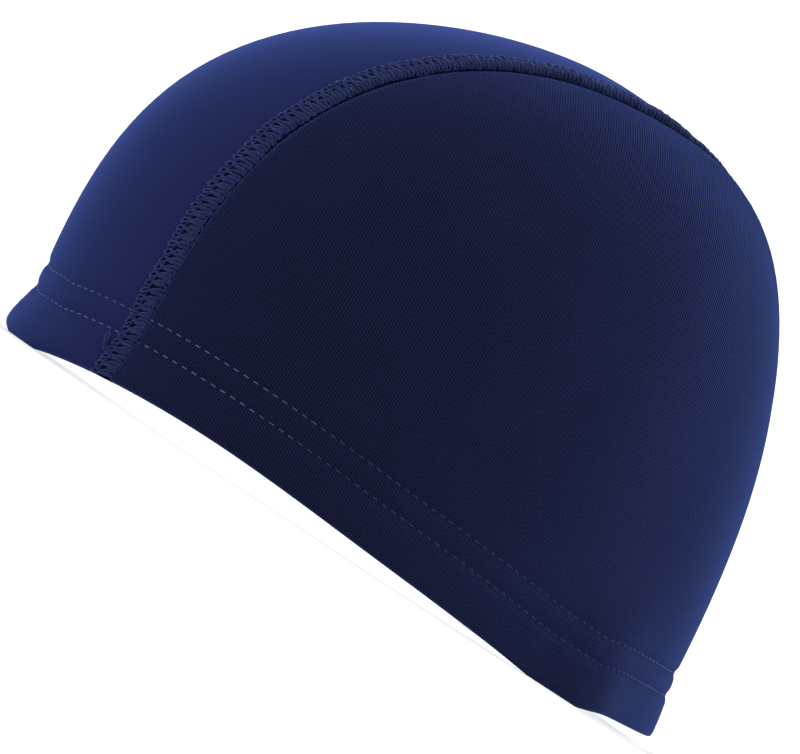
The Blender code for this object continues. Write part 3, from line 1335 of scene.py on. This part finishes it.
@dataclass(frozen=True)
class SoftLamp:
    """One round lamp that the camera doesn't see."""

    name: str
    place: Sequence[float]
    aim: Sequence[float]
    width: float
    power: float

    def build(self) -> None:
        """Hangs the lamp, turned to the point that it shines at."""
        data = bpy.data.lights.new(self.name, "AREA")
        data.shape = "DISK"
        data.size = self.width
        data.energy = self.power
        lamp = bpy.data.objects.new(self.name, data)
        lamp.location = self.place
        ray = Vector(self.aim) - lamp.location
        lamp.rotation_euler = ray.to_track_quat("-Z", "Y").to_euler()
        lamp.visible_camera = False
        bpy.context.scene.collection.objects.link(lamp)


@dataclass
class Studio:
    """The pale floor, the soft light and the camera."""

    distance: float = 0.900
    camera_height: float = 0.012
    turn: float = 27.54
    roll: float = 33.5
    focal_px: float = 3435.0
    aim: Sequence[float] = (0.0, 0.0, 0.0688)
    aim_px: Sequence[float] = (467.4, 317.6)
    width_px: float = 800.0
    height_px: float = 754.0
    sensor_width: float = 36.0
    clip_start: float = 0.05
    clip_end: float = 30.0
    floor_radius: float = 12.0
    floor_sides: int = 96
    surround: float = 1.36
    lamps: Sequence[SoftLamp] = (
        SoftLamp("before_the_brow", (0.1, -1.4, 0.5), (0.0, 0.0, 0.05), 1.2, 0.6),
        SoftLamp("under_the_dome", (0.0, 0.0, 0.10), (0.0, 0.0, 0.0), 0.09, 0.25),
    )

    def camera(self) -> None:
        """Puts the camera low beside the wearer's left temple, with its frame tilted."""
        data = bpy.data.cameras.new("camera")
        data.sensor_fit = "HORIZONTAL"
        data.sensor_width = self.sensor_width
        data.lens = self.focal_px / self.width_px * data.sensor_width
        data.clip_start = self.clip_start
        data.clip_end = self.clip_end
        place = Vector(
            (
                self.distance * math.cos(math.radians(self.turn)),
                -self.distance * math.sin(math.radians(self.turn)),
                self.camera_height,
            )
        )
        look = (Vector(self.aim) - place).to_track_quat("-Z", "Y")
        tilt = Matrix.Rotation(math.radians(self.roll), 4, "Z").to_quaternion()
        right = (self.aim_px[0] - self.width_px / 2) / self.focal_px
        down = (self.aim_px[1] - self.height_px / 2) / self.focal_px
        off = Vector((right, -down, -1.0)).rotation_difference(Vector((0.0, 0.0, -1.0)))
        camera = bpy.data.objects.new("camera", data)
        camera.location = place
        camera.rotation_mode = "QUATERNION"
        camera.rotation_quaternion = look @ tilt @ off
        bpy.context.scene.collection.objects.link(camera)
        bpy.context.scene.camera = camera

    def floor(self) -> None:
        """A wide plain floor."""
        bpy.ops.object.select_all(action="DESELECT")
        bpy.ops.mesh.primitive_circle_add(
            vertices=self.floor_sides, radius=self.floor_radius, fill_type="NGON"
        )
        floor = bpy.context.object
        floor.name = "floor"
        floor.data.materials.append(PaleFloor().build())

    def light(self) -> None:
        """An even white surround, a soft lamp before the brow and one in the hollow."""
        world = bpy.data.worlds.new("studio")
        world.use_nodes = True
        back = world.node_tree.nodes["Background"]
        back.inputs["Color"].default_value = (1.0, 1.0, 1.0, 1.0)
        back.inputs["Strength"].default_value = self.surround
        bpy.context.scene.world = world
        for lamp in self.lamps:
            lamp.build()

    def build(self) -> None:
        """Makes the whole set."""
        bpy.context.scene.view_settings.view_transform = "Standard"
        self.camera()
        self.floor()
        self.light()


def main() -> None:
    """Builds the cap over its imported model."""
    logging.basicConfig(level=logging.INFO, format="%(message)s", stream=sys.stdout)
    form = CapForm()
    Studio().build()
    centre_knit = KnitFinish(
        name="centre_knit",
        lit_ridge=(0.0110, 0.0142, 0.060, 1.0),
        shaded_groove=(0.0070, 0.0090, 0.040, 1.0),
        sheen=(0.17, 0.29, 1.0, 1.0),
        rib_depth=0.00003,
        rib_contrast=0.35,
    )
    side_knit = KnitFinish(
        name="side_knit",
        # Near-black grooves: painted shade between the side panel's ribs.
        lit_ridge=(0.0102, 0.0116, 0.0350, 1.0),
        shaded_groove=(0.0003, 0.0005, 0.0020, 1.0),
        sheen=(0.17, 0.29, 1.0, 1.0),
    )
    thread = ThreadFinish(
        name="seam_thread",
        light=(0.021, 0.029, 0.092, 1.0),
        dark=(0.005, 0.008, 0.030, 1.0),
        sheen=(0.20, 0.32, 1.0, 1.0),
        sheen_weight=0.68,
    )
    hem_thread = ThreadFinish(
        name="hem_thread",
        light=(0.120, 0.145, 0.250, 1.0),
        dark=(0.008, 0.011, 0.035, 1.0),
        sheen=(0.25, 0.38, 1.0, 1.0),
        sheen_weight=0.4,
        patchiness=0.75,
        # Painted shade over the middle of each side of the hem.
        painted_shade=0.75,
    )
    ClothPanels(form, centre_knit, side_knit).build()
    # The folded edges are the panels' knit, coloured darker as painted shade between the threads.
    core = KnitFinish(
        name="seam_core",
        lit_ridge=(0.0045, 0.006, 0.020, 1.0),
        shaded_groove=(0.002, 0.003, 0.010, 1.0),
        sheen=(0.20, 0.325, 1.0, 1.0),
        sheen_weight=0.1,
    ).build()
    thread_material = thread.build()
    for side in Side:
        OverlockBand(SeamLine(form, side), core, thread_material).build()
    HemStitching(form, hem_thread).build()


if __name__ == "__main__":
    main()
